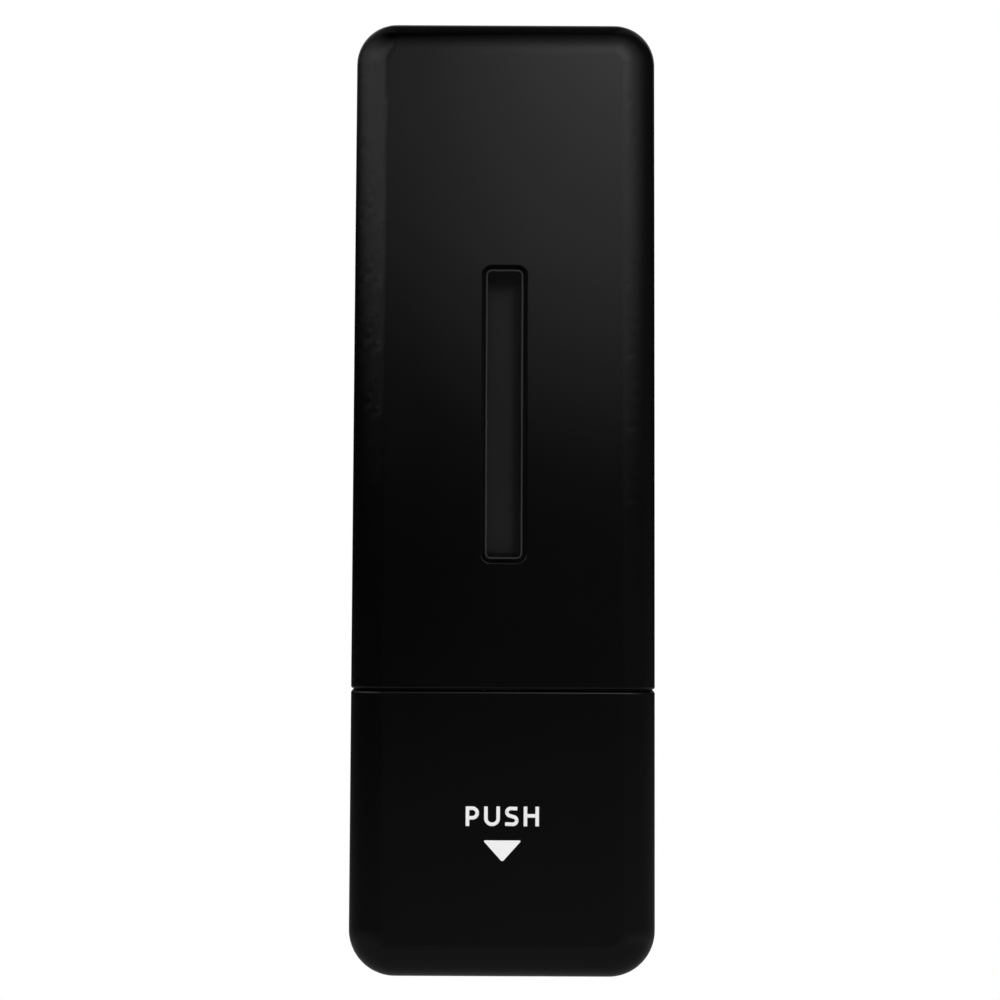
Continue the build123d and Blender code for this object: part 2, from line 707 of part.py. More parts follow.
# Pump body: cylinder with a spring collar, screw ears, inlet tower and outlet tube
with BuildPart() as pump_body:
    with BuildSketch(Plane.XZ.offset(-pump_rear_y)):
        with Locations((0, pump_z)):
            Circle(cylinder_radius)
    extrude(amount=pump_rear_y - cylinder_front_y)
    with BuildSketch(Plane.XZ.offset(-pump_rear_y)):
        with Locations((0, pump_z)):
            SlotOverall(2 * (pump_ear_offset + pump_ear_radius), 2 * pump_ear_radius)
    extrude(amount=pump_end_wall)
    with BuildSketch(Plane.XZ.offset(-collar_rear_y)):
        with Locations((0, pump_z)):
            Circle(collar_radius)
    extrude(amount=collar_thickness)
    with BuildSketch(Plane.XY.offset(pump_z)):
        with Locations((0, port_y)):
            Circle(tower_radius)
    extrude(amount=tower_top_z - pump_z)
    split(bisect_by=Plane.XZ.offset(-pump_rear_y), keep=Keep.TOP)
    with BuildSketch(Plane.XY.offset(pump_z)):
        with Locations((0, port_y)):
            Circle(outlet_radius)
    extrude(amount=outlet_end_z - pump_z)
    # Bore, inlet socket, ball cage, inlet and outlet passages
    with BuildSketch(Plane.XZ.offset(-chamber_rear_y)):
        with Locations((0, pump_z)):
            Circle(bore_radius)
    extrude(amount=chamber_rear_y - cylinder_front_y, mode=Mode.SUBTRACT)
    with BuildSketch(Plane.XY.offset(tower_top_z)):
        with Locations((0, port_y)):
            Circle(socket_radius)
    extrude(amount=-socket_depth, mode=Mode.SUBTRACT)
    with BuildSketch(Plane.XY.offset(socket_floor_z)):
        with Locations((0, port_y)):
            Circle(ball_radius + ball_side_gap)
    extrude(amount=cage_z - socket_floor_z, mode=Mode.SUBTRACT)
    with BuildSketch(Plane.XY.offset(cage_z)):
        with Locations((0, port_y)):
            Rectangle(2 * inlet_radius, cage_slot)
            Rectangle(cage_slot, 2 * inlet_radius)
    extrude(amount=-cage_floor, mode=Mode.SUBTRACT)
    with BuildSketch(Plane.XY.offset(cage_z - cage_floor)):
        with Locations((0, port_y)):
            Circle(inlet_radius)
    extrude(amount=pump_z - cage_z + cage_floor, mode=Mode.SUBTRACT)
    with BuildSketch(Plane.XY.offset(pump_z)):
        with Locations((0, port_y)):
            Circle(outlet_bore)
    extrude(amount=outlet_end_z - pump_z, mode=Mode.SUBTRACT)
    with BuildSketch(Plane.XZ.offset(-pump_rear_y)):
        with Locations(*pump_screw_points):
            Circle(screw_radius + screw_clearance)
    extrude(amount=pump_end_wall, mode=Mode.SUBTRACT)
pump_body.part.label = "pump_body"
export_step(pump_body.part, "parts/pump_body.step")

# Pump cap: plug and flange that guide the piston rod
with BuildPart() as pump_cap:
    with BuildSketch(Plane.XZ.offset(-cylinder_front_y)):
        with Locations((0, pump_z)):
            Circle(cylinder_radius)
    extrude(amount=cap_flange)
    with BuildSketch(Plane.XZ.offset(-cylinder_front_y)):
        with Locations((0, pump_z)):
            Circle(bore_radius - seal_gap)
    extrude(amount=-cap_plug)
    with BuildSketch(Plane.XZ.offset(-plug_end_y)):
        with Locations((0, pump_z)):
            Circle(rod_radius + rod_gap)
    extrude(amount=cap_plug + cap_flange, mode=Mode.SUBTRACT)
    chamfer(pump_cap.faces().sort_by(Axis.Y)[0].outer_wire().edges(), cap_flange / 3)
pump_cap.part.label = "pump_cap"
export_step(pump_cap.part, "parts/pump_cap.step")

# Piston with its rod, a seal ring in its groove and a cross pin through the socket
piston_radius = bore_radius - piston_gap
groove_y = (piston_front_y + piston_rear_y) / 2
with BuildPart() as piston:
    with BuildSketch(Plane.YZ):
        with BuildLine():
            Polyline(
                (piston_rear_y, pump_z),
                (piston_rear_y, pump_z + piston_radius),
                (groove_y + seal_width / 2, pump_z + piston_radius),
                (groove_y + seal_width / 2, pump_z + bore_radius - seal_depth),
                (groove_y - seal_width / 2, pump_z + bore_radius - seal_depth),
                (groove_y - seal_width / 2, pump_z + piston_radius),
                (piston_front_y, pump_z + piston_radius),
                (piston_front_y, pump_z + rod_radius),
                (spring_seat_y, pump_z + rod_radius),
                (spring_seat_y, pump_z),
                close=True,
            )
        make_face()
    revolve(axis=Axis((0, 0, pump_z), (0, 1, 0)))
    with BuildSketch(Plane.YZ):
        with Locations((spring_seat_y + socket_length / 2, pump_z)):
            Circle(piston_pin_radius)
    extrude(amount=2 * rod_radius, both=True, mode=Mode.SUBTRACT)
piston.part.label = "piston"
export_step(piston.part, "parts/piston.step")

with BuildPart() as piston_seal:
    with BuildSketch(Plane.YZ):
        with BuildLine():
            Polyline(
                (groove_y + seal_width / 2, pump_z + bore_radius - seal_depth),
                (groove_y + seal_width / 2, pump_z + bore_radius - seal_gap),
                (groove_y + seal_width / 4, pump_z + bore_radius - seal_gap),
                (groove_y, pump_z + piston_radius - seal_gap),
                (groove_y - seal_width / 4, pump_z + bore_radius - seal_gap),
                (groove_y - seal_width / 2, pump_z + bore_radius - seal_gap),
                (groove_y - seal_width / 2, pump_z + bore_radius - seal_depth),
                close=True,
            )
        make_face()
    revolve(axis=Axis((0, 0, pump_z), (0, 1, 0)))
piston_seal.part.label = "piston_seal"
export_step(piston_seal.part, "parts/piston_seal.step")

with BuildPart() as piston_pin:
    with BuildSketch(Plane.YZ):
        with Locations((spring_seat_y + socket_length / 2, pump_z)):
            Circle(piston_pin_radius)
    extrude(amount=rod_radius + socket_wall - rest_gap, both=True)
piston_pin.part.label = "piston_pin"
export_step(piston_pin.part, "parts/piston_pin.step")

# Inlet valve: seat ring, seal on the spigot and the loose ball in its cage
with BuildPart() as inlet_seat:
    with BuildSketch(Plane.XY.offset(socket_floor_z)):
        with Locations((0, port_y)):
            Circle(socket_radius - seal_gap)
            Circle(seat_bore, mode=Mode.SUBTRACT)
    extrude(amount=seat_thickness)
    chamfer(inlet_seat.faces().sort_by(Axis.Z)[-1].inner_wires()[0].edges(), seat_thickness / 3)
inlet_seat.part.label = "inlet_seat"
export_step(inlet_seat.part, "parts/inlet_seat.step")

with BuildPart() as inlet_oring:
    with Locations((0, port_y, tower_top_z - oring_drop)):
        Torus(spigot_radius + socket_gap / 2, socket_gap / 2 - oring_squeeze_gap)
inlet_oring.part.label = "inlet_oring"
export_step(inlet_oring.part, "parts/inlet_oring.step")

with BuildPart() as inlet_ball:
    with Locations((0, port_y, ball_z)):
        Sphere(ball_radius)
inlet_ball.part.label = "inlet_ball"
export_step(inlet_ball.part, "parts/inlet_ball.step")

# Duckbill valve: flange and tube that flattens into two lips
with BuildPart() as duckbill_valve:
    with BuildSketch(Plane.XY.offset(nut_floor_z)):
        with Locations((0, port_y)):
            Circle(outlet_radius)
    extrude(amount=duckbill_flange)
    with BuildSketch(Plane.XY.offset(nut_floor_z)):
        with Locations((0, port_y)):
            Circle(duckbill_radius)
    with BuildSketch(Plane.XY.offset(nut_floor_z - duckbill_length)):
        with Locations((0, port_y)):
            Ellipse(duckbill_radius, duckbill_lip / 2)
    loft()
    with BuildSketch(Plane.XY.offset(outlet_end_z)):
        with Locations((0, port_y)):
            Circle(outlet_bore)
    extrude(amount=-(duckbill_flange + duckbill_length / 3), taper=12, mode=Mode.SUBTRACT)
duckbill_valve.part.label = "duckbill_valve"
export_step(duckbill_valve.part, "parts/duckbill_valve.step")

# Nozzle cap: ribbed nut on the outlet tube with a short open spout
nozzle_shell = turned(
    (
        (spout_bore, nozzle_tip_z),
        (spout_radius, nozzle_tip_z),
        (spout_radius, nut_floor_z - duckbill_flange),
        (nut_radius, nut_floor_z),
        (nut_radius, nut_top_z),
        (outlet_radius + nut_gap, nut_top_z),
        (outlet_radius + nut_gap, nut_floor_z),
        (spout_bore, nut_floor_z),
    ),
    port_y,
)
with BuildPart() as nozzle_cap:
    add(nozzle_shell)
    with BuildSketch(Plane.XY.offset(nut_floor_z + duckbill_flange)):
        with Locations((0, port_y)):
            with PolarLocations(nut_radius, nut_flats):
                Circle(inner_round)
    extrude(amount=nut_height, mode=Mode.SUBTRACT)
    fillet(nozzle_cap.faces().sort_by(Axis.Z)[0].outer_wire().edges(), edge_round)
nozzle_cap.part.label = "nozzle_cap"
export_step(nozzle_cap.part, "parts/nozzle_cap.step")

# Return spring: one helix whose pitch closes up at both ends, as biarcs of a quarter turn
spring_start_y = collar_front_y - spring_seat_gap - wire_radius
spring_span = -spring_seat_y - spring_seat_gap - wire_radius + spring_start_y
open_pitch = 2 * (spring_span - spring_end_pitch * spring_turns) / spring_turns


def spring_point(turn):
    """Centre of the wire after a number of turns."""
    swell = turn / 2 - spring_turns * sin(2 * pi * turn / spring_turns) / (4 * pi)
    rise = spring_end_pitch * turn + open_pitch * swell
    angle = 2 * pi * turn
    return Vector(spring_radius * cos(angle), spring_start_y - rise, pump_z + spring_radius * sin(angle))


def spring_tangent(turn):
    """Direction of the wire after a number of turns."""
    slope = spring_end_pitch + open_pitch * sin(pi * turn / spring_turns) ** 2
    angle = 2 * pi * turn
    reach = 2 * pi * spring_radius
    return Vector(-reach * sin(angle), -slope, reach * cos(angle)).normalized()


with BuildPart() as return_spring:
    with BuildLine() as spring_path:
        for quarter in range(int(4 * spring_turns)):
            start = spring_point(quarter / 4)
            end = spring_point((quarter + 1) / 4)
            start_way = spring_tangent(quarter / 4)
            end_way = spring_tangent((quarter + 1) / 4)
            chord = end - start
            turn_cosine = 1 - start_way.dot(end_way)
            along = chord.dot(start_way + end_way)
            reach = (sqrt(along**2 + 2 * turn_cosine * chord.dot(chord)) - along) / (2 * turn_cosine)
            first_corner = start + start_way * reach
            second_corner = end - end_way * reach
            middle = (first_corner + second_corner) * 0.5
            TangentArc(start, middle, tangent=start_way)
            TangentArc(middle, end, tangent=second_corner - first_corner)
    with BuildSketch(Plane(origin=spring_point(0), z_dir=spring_tangent(0))):
        Circle(wire_radius)
    sweep()
return_spring.part.label = "return_spring"
export_step(return_spring.part, "parts/return_spring.step")
spring_samples = [spring_point(step / 24) for step in range(int(24 * spring_turns) + 1)]
spring_gap = min(
    (spring_samples[later] - spring_samples[first]).length - 2 * wire_radius
    for first in range(len(spring_samples))
    for later in range(first + 12, len(spring_samples))
)
print("return spring: least gap between turns", round(spring_gap, 2), "mm")


def pan_screw(x, z, head_y, forward):
    """Pan-head screw along Y, its head's underside at head_y, its shank forward or back."""
    with BuildPart() as piece:
        with BuildSketch(Plane.XZ.offset(-head_y)):
            with Locations((x, z)):
                Circle(screw_head_radius)
        extrude(amount=-forward * screw_head_height)
        fillet(piece.edges().filter_by(GeomType.CIRCLE).sort_by(Axis.Y)[-1 if forward > 0 else 0], edge_round)
        with BuildSketch(Plane.XZ.offset(-head_y)):
            with Locations((x, z)):
                Circle(screw_radius)
        extrude(amount=forward * (screw_length if forward > 0 else pump_screw_length))
        with BuildSketch(Plane.XZ.offset(-head_y + -forward * screw_head_height)):
            with Locations((x, z)):
                Rectangle(2 * screw_radius, drive_width)
                Rectangle(drive_width, 2 * screw_radius)
        extrude(amount=forward * drive_depth, mode=Mode.SUBTRACT)
    return piece.part


cover_screw_solids = [pan_screw(x, z, panel_rear_y, 1) for x, z in cover_screw_points]
pump_screw_solids = [pan_screw(x, z, pump_rear_y - pump_end_wall, -1) for x, z in pump_screw_points]
with BuildPart() as cover_screws:
    add(cover_screw_solids)
cover_screws.part.label = "cover_screws"
export_step(cover_screws.part, "parts/cover_screws.step")
with BuildPart() as pump_screws:
    add(pump_screw_solids)
pump_screws.part.label = "pump_screws"
export_step(pump_screws.part, "parts/pump_screws.step")
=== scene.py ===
"""Looks of the wall mounted soap dispenser: finishes, printed legend, spring, screws and studio."""

import json
import math

import bmesh
import bpy
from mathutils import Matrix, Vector

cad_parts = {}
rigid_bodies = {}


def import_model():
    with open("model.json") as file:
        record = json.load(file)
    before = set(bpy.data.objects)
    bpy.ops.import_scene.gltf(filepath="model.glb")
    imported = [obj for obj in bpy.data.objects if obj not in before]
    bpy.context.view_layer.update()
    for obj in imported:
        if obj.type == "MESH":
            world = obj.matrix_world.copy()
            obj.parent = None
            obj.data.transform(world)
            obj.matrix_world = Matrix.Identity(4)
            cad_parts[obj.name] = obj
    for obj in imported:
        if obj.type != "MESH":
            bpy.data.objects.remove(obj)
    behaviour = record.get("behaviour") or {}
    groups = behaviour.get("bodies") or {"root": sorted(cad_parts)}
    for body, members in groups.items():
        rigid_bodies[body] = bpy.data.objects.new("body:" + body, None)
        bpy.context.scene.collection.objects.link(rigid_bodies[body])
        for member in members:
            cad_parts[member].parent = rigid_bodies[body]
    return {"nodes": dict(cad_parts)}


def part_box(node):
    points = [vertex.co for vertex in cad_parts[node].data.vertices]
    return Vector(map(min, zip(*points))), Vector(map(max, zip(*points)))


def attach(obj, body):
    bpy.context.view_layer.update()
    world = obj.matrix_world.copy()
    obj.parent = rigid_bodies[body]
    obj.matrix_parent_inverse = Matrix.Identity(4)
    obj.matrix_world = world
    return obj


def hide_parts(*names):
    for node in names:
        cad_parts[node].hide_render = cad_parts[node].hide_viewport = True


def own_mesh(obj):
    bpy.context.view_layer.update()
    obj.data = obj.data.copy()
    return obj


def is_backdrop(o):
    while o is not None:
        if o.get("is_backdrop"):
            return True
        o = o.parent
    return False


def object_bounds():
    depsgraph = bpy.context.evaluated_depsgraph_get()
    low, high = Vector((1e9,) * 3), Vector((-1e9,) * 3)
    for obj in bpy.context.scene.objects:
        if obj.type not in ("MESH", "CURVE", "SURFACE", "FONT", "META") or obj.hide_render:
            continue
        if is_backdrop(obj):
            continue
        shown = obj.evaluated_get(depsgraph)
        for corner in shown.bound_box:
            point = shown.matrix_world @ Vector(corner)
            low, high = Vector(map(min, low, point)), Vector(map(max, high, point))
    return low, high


MM = 0.001

for leftover in list(bpy.data.objects):
    bpy.data.objects.remove(leftover)
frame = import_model()
cad_low, cad_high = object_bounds()
scene = bpy.context.scene

# Front view: the picture's width at the depth of the outline, its middle, and its roll in degrees
picture_width = 220.7 * MM
outline_depth = -64.0 * MM
view_distance = 2.0
view_middle_x = -0.83 * MM
view_middle_z = -31.94 * MM
view_roll = -0.26
sensor_width = 36.0

# Finishes: the range of a noise that counts, and how far grain and draw lines show
noise_low = 0.25
noise_high = 0.75
grain_strength = 0.35
draw_strength = 0.25
draw_depth = 0.01 * MM

# Smoked lens: where painted shade darkens its colour, to the right of its middle and below its top
right_painted_shade = 0.52
right_painted_shade_start = 0.9 * MM
right_painted_shade_full = 2.6 * MM
top_painted_shade = 0.85
top_painted_shade_start = 9.0 * MM
top_painted_shade_full = 5.0 * MM

# Level window: how far the faces of its bevel turn to the front, from 0 to 1
bevel_facing_least = 0.5
bevel_facing_most = 0.95

# Printed legend on the button
cap_height = 4.32 * MM
bowl_share = 0.325
bar_share = 0.53
stroke_width = 0.8 * MM
stroke_turn = 1.3 * MM
ink_height = 0.03 * MM
letter_gap = 1.12 * MM
legend_z = -101.47 * MM
arrow_width = 8.5 * MM
arrow_top_z = -106.77 * MM
arrow_drop = 4.74 * MM
arrow_round = 0.25 * MM

# Return spring
wire_radius = 0.65 * MM
wire_sides = 14
spring_turns = 6.5
spring_end_pitch = 1.8 * MM
steps_per_turn = 48

# Screws, in millimetres until they are set in place
head_radius = 2.3
head_height = 1.6
head_sides = 36
head_crown = 0.55
crown_start = 0.01
crown_power = 3.0
thread_radius = 1.3
thread_pitch = 1.0
thread_lead = 0.4
thread_steps = 20
ridge_sides = 4
core_radius = 0.95
core_taper = 0.8
core_sides = 24
recess_width = 0.75
recess_span = 2.9
recess_depth = 0.95

# Studio
white = (1.0, 1.0, 1.0, 1.0)
ambient_light = 1.05
floor_drop = 0.26
floor_z = cad_low.z - floor_drop
floor_reach = 8.0
floor_tone = (0.86, 0.86, 0.86, 1.0)
floor_roughness = 0.7
white_start = 0.5
white_full = 2.0
gloss_lift = 0.002
gloss_tone = 0.165
dome_middle = Vector((0, cad_low.y, (cad_low.z + cad_high.z) / 2))
dome_distance = 0.8
dome_foot = -89.0
dome_step = 1.5
dome_tone = 0.006


def node(tree, kind, inputs=None, **settings):
    """A node with its settings, its plain inputs set and its linked inputs joined."""
    made = tree.nodes.new(kind)
    for name, value in settings.items():
        setattr(made, name, value)
    for name, value in (inputs or {}).items():
        if isinstance(value, bpy.types.NodeSocket):
            tree.links.new(value, made.inputs[name])
        else:
            made.inputs[name].default_value = value
    return made


def calc(tree, operation, first, second=0.0):
    """Result of one sum on values or sockets."""
    made = node(tree, "ShaderNodeMath", {0: first, 1: second}, operation=operation)
    return made.outputs["Value"]


def group(name, kind, inputs, outputs):
    """An empty node group with named sockets, and its two end nodes."""
    tree = bpy.data.node_groups.new(name, kind)
    for label, socket, value in inputs:
        made = tree.interface.new_socket(label, in_out="INPUT", socket_type=socket)
        if value is not None:
            made.default_value = value
    for label, socket in outputs:
        tree.interface.new_socket(label, in_out="OUTPUT", socket_type=socket)
    return tree, node(tree, "NodeGroupInput"), node(tree, "NodeGroupOutput")


def link_in(obj):
    """Puts an object in the scene and hands it back."""
    scene.collection.objects.link(obj)
    return obj


def shape_tree(name, inputs):
    """A Geometry Nodes tree with a seed mesh, a finish and named sizes."""
    inputs = [("Seed", "NodeSocketGeometry", None), ("Finish", "NodeSocketMaterial", None), *inputs]
    tree, start, end = group(name, "GeometryNodeTree", inputs, [("Shape", "NodeSocketGeometry")])
    tree.is_modifier = True
    return tree, start.outputs, end


def close_tree(tree, given, end, shape):
    """Ends a tree in plain geometry with its finish."""
    plain = node(tree, "GeometryNodeRealizeInstances", {"Geometry": shape})
    dressed = node(
        tree,
        "GeometryNodeSetMaterial",
        {"Geometry": plain.outputs["Geometry"], "Material": given["Finish"]},
    )
    tree.links.new(dressed.outputs["Geometry"], end.inputs["Shape"])


def raised(tree, shape, height):
    """A shape moved along Z."""
    shift = node(tree, "ShaderNodeCombineXYZ", {"Z": height}).outputs["Vector"]
    moved = node(tree, "GeometryNodeTransform", {"Geometry": shape, "Translation": shift})
    return moved.outputs["Geometry"]


def swept(tree, path, section):
    """The solid that a closed section leaves along a path."""
    solid = node(
        tree,
        "GeometryNodeCurveToMesh",
        {"Curve": path, "Profile Curve": section.outputs["Curve"], "Fill Caps": True},
    )
    return solid.outputs["Mesh"]


def grown(name, tree, seed, **sizes):
    """A piece with the plain mesh that a tree grows from a seed mesh and its sizes."""
    piece = link_in(bpy.data.objects.new(name, seed))
    growth = piece.modifiers.new("growth", "NODES")
    growth.node_group = tree
    for item in tree.interface.items_tree:
        label = item.name.replace(" ", "_")
        if item.in_out == "INPUT" and label in sizes:
            growth[item.identifier] = sizes[label]
    shaped = piece.evaluated_get(bpy.context.evaluated_depsgraph_get())
    piece.data = bpy.data.meshes.new_from_object(shaped)
    piece.modifiers.remove(growth)
    return piece


def seed_mesh(name, points, edges=()):
    """A mesh of bare points and edges to grow a piece from."""
    mesh = bpy.data.meshes.new(name)
    mesh.from_pydata(points, edges, [])
    return mesh


# Shared effects of the finishes


def mould_grain_group():
    """Spark-eroded mould grain: fine height, and slow clouds that vary tone and gloss."""
    tree, start, end = group(
        "mould_grain",
        "ShaderNodeTree",
        [("Grain scale", "NodeSocketFloat", 2600.0), ("Cloud scale", "NodeSocketFloat", 30.0)],
        [("Height", "NodeSocketFloat"), ("Clouds", "NodeSocketFloat")],
    )
    place = node(tree, "ShaderNodeTexCoord").outputs["Object"]
    pits = node(
        tree,
        "ShaderNodeTexNoise",
        {"Vector": place, "Scale": start.outputs["Grain scale"], "Detail": 3.0, "Roughness": 0.6},
    )
    clouds = node(
        tree,
        "ShaderNodeTexNoise",
        {"Vector": place, "Scale": start.outputs["Cloud scale"], "Detail": 4.0, "Roughness": 0.55},
    )
    tree.links.new(pits.outputs["Fac"], end.inputs["Height"])
    tree.links.new(clouds.outputs["Fac"], end.inputs["Clouds"])
    return tree


def drawn_metal_group():
    """Fine draw lines along one axis with small stains, for wire, pins and screws."""
    tree, start, end = group(
        "drawn_metal",
        "ShaderNodeTree",
        [("Line scale", "NodeSocketFloat", 900.0), ("Stretch", "NodeSocketVector", (1.0, 0.08, 1.0))],
        [("Height", "NodeSocketFloat"), ("Stain", "NodeSocketFloat")],
    )
    place = node(tree, "ShaderNodeTexCoord").outputs["Object"]
    drawn = node(
        tree,
        "ShaderNodeVectorMath",
        {0: place, 1: start.outputs["Stretch"]},
        operation="MULTIPLY",
    ).outputs["Vector"]
    lines = node(
        tree,
        "ShaderNodeTexNoise",
        {"Vector": drawn, "Scale": start.outputs["Line scale"], "Detail": 2.0},
    )
    stain = node(tree, "ShaderNodeTexNoise", {"Vector": place, "Scale": 160.0, "Detail": 3.0})
    tree.links.new(lines.outputs["Fac"], end.inputs["Height"])
    tree.links.new(stain.outputs["Fac"], end.inputs["Stain"])
    return tree


mould_grain = mould_grain_group()
drawn_metal = drawn_metal_group()


def finish(name, **settings):
    """A new material with one Principled shader, and the values of its plain sockets."""
    material = bpy.data.materials.new(name)
    material.use_nodes = True
    tree = material.node_tree
    shader = tree.nodes["Principled BSDF"]
    for label, value in settings.items():
        shader.inputs[label.replace("_", " ")].default_value = value
    return material, tree, shader


def smooth_rise(tree, value, start, full, most=1.0):
    """Value that rises smoothly from nothing at the start to the most where it is full."""
    limits = {"Value": value, "From Min": start, "From Max": full, "To Max": most}
    rise = node(tree, "ShaderNodeMapRange", limits, interpolation_type="SMOOTHSTEP")
    return rise.outputs["Result"]


def vary(tree, shader, noise, low, high, roughness):
    """Varies a shader's tone and its roughness with a noise."""
    ramp = node(tree, "ShaderNodeValToRGB", {"Fac": noise})
    ramp.color_ramp.elements[0].color = (*low, 1.0)
    ramp.color_ramp.elements[1].color = (*high, 1.0)
    tree.links.new(ramp.outputs["Color"], shader.inputs["Base Color"])
    least, most = roughness
    limits = {"From Min": noise_low, "From Max": noise_high, "To Min": least, "To Max": most}
    spread = node(tree, "ShaderNodeMapRange", {"Value": noise, **limits})
    tree.links.new(spread.outputs["Result"], shader.inputs["Roughness"])


def emboss(tree, shader, height, strength, depth):
    """Lets a fine height show in a shader's surface."""
    bump = node(tree, "ShaderNodeBump", {"Strength": strength, "Distance": depth, "Height": height})
    tree.links.new(bump.outputs["Normal"], shader.inputs["Normal"])


def moulded(name, low, high, roughness, grain_scale, grain_depth, **settings):
    """Moulded plastic: grain in the surface, clouds in its tone and in its roughness."""
    material, tree, shader = finish(name, **settings)
    grain = node(tree, "ShaderNodeGroup", node_tree=mould_grain)
    grain.inputs["Grain scale"].default_value = grain_scale
    vary(tree, shader, grain.outputs["Clouds"], low, high, roughness)
    emboss(tree, shader, grain.outputs["Height"], grain_strength, grain_depth)
    return material


def bright_steel():
    """Plated steel with draw lines and faint stains."""
    material, tree, shader = finish("bright_steel", Metallic=1.0)
    drawn = node(tree, "ShaderNodeGroup", node_tree=drawn_metal)
    vary(
        tree,
        shader,
        drawn.outputs["Stain"],
        low=(0.44, 0.45, 0.46),
        high=(0.66, 0.66, 0.65),
        roughness=(0.2, 0.36),
    )
    emboss(tree, shader, drawn.outputs["Height"], draw_strength, draw_depth)
    return material


def smoked_plastic_with_painted_shade():
    """Smoked clear plastic, with painted shade that darkens it along its right side and towards its
    top.
    """
    material = moulded(
        "smoked_clear_plastic",
        low=(0.205, 0.205, 0.21),
        high=(0.24, 0.24, 0.245),
        roughness=(0.28, 0.34),
        grain_scale=1200.0,
        grain_depth=0.002 * MM,
        Transmission_Weight=1.0,
        IOR=1.2,
    )
    tree = material.node_tree
    base = tree.nodes["Principled BSDF"].inputs["Base Color"]
    tint = base.links[0].from_socket
    # Painted shade: the lens colour darkens to the right of its middle and near its top, in place of
    # the shade that the slot's rim casts
    place = node(tree, "ShaderNodeTexCoord").outputs["Object"]
    spot = node(tree, "ShaderNodeSeparateXYZ", {0: place})
    lens_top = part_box("window_lens")[1].z
    right = smooth_rise(tree, spot.outputs["X"], right_painted_shade_start, right_painted_shade_full, right_painted_shade)
    painted_shade_top_start = lens_top - top_painted_shade_start
    painted_shade_top_full = lens_top - top_painted_shade_full
    upper = smooth_rise(tree, spot.outputs["Z"], painted_shade_top_start, painted_shade_top_full, top_painted_shade)
    shade = calc(tree, "MAXIMUM", right, upper)
    clear = calc(tree, "SUBTRACT", 1.0, shade)
    painted_shade_colour = node(tree, "ShaderNodeVectorMath", {0: tint, "Scale": clear}, operation="SCALE")
    tree.links.new(painted_shade_colour.outputs["Vector"], base)
    return material


finishes = {
    "satin_black": moulded(
        "satin_black_plastic",
        low=(0.0003, 0.0003, 0.00033),
        high=(0.0007, 0.0007, 0.00075),
        roughness=(0.12, 0.16),
        grain_scale=2600.0,
        grain_depth=0.012 * MM,
    ),
    "chassis_black": moulded(
        "matt_black_plastic",
        low=(0.004, 0.004, 0.0043),
        high=(0.009, 0.009, 0.0095),
        roughness=(0.46, 0.6),
        grain_scale=1500.0,
        grain_depth=0.05 * MM,
    ),
    "nozzle_black": moulded(
        "spout_black_plastic",
        low=(0.003, 0.003, 0.0032),
        high=(0.006, 0.006, 0.0062),
        roughness=(0.3, 0.4),
        grain_scale=2200.0,
        grain_depth=0.02 * MM,
    ),
    "smoked_lens": smoked_plastic_with_painted_shade(),
    "tank_frosted": moulded(
        "frosted_tank_plastic",
        low=(0.62, 0.63, 0.62),
        high=(0.76, 0.77, 0.76),
        roughness=(0.42, 0.6),
        grain_scale=1400.0,
        grain_depth=0.05 * MM,
        Subsurface_Weight=0.25,
        Subsurface_Radius=(0.004, 0.004, 0.004),
    ),
    "pump_white": moulded(
        "natural_white_plastic",
        low=(0.66, 0.66, 0.63),
        high=(0.78, 0.78, 0.75),
        roughness=(0.34, 0.48),
        grain_scale=1800.0,
        grain_depth=0.03 * MM,
    ),
    "seal_black": moulded(
        "seal_rubber",
        low=(0.007, 0.007, 0.0075),
        high=(0.016, 0.016, 0.017),
        roughness=(0.6, 0.78),
        grain_scale=1600.0,
        grain_depth=0.06 * MM,
    ),
    "silicone_clear": moulded(
        "clear_silicone",
        low=(0.7, 0.71, 0.72),
        high=(0.82, 0.83, 0.84),
        roughness=(0.28, 0.42),
        grain_scale=1100.0,
        grain_depth=0.03 * MM,
        Transmission_Weight=0.55,
        IOR=1.41,
    ),
    "steel_bright": bright_steel(),
}
white_ink = moulded(
    "white_print",
    low=(0.84, 0.84, 0.84),
    high=(0.91, 0.91, 0.91),
    roughness=(0.42, 0.55),
    grain_scale=3200.0,
    grain_depth=0.004 * MM,
)
groove_black = moulded(
    "groove_rubber",
    low=(0.0008, 0.0008, 0.0009),
    high=(0.0016, 0.0016, 0.0017),
    roughness=(0.6, 0.78),
    grain_scale=1600.0,
    grain_depth=0.03 * MM,
)
lens_edge = moulded(
    "satin_lens_edge",
    low=(0.045, 0.045, 0.046),
    high=(0.065, 0.065, 0.067),
    roughness=(0.3, 0.42),
    grain_scale=2400.0,
    grain_depth=0.01 * MM,
)

for part in frame["nodes"].values():
    for face_slot in part.material_slots:
        face_slot.material = finishes[face_slot.material.name]


# Return spring


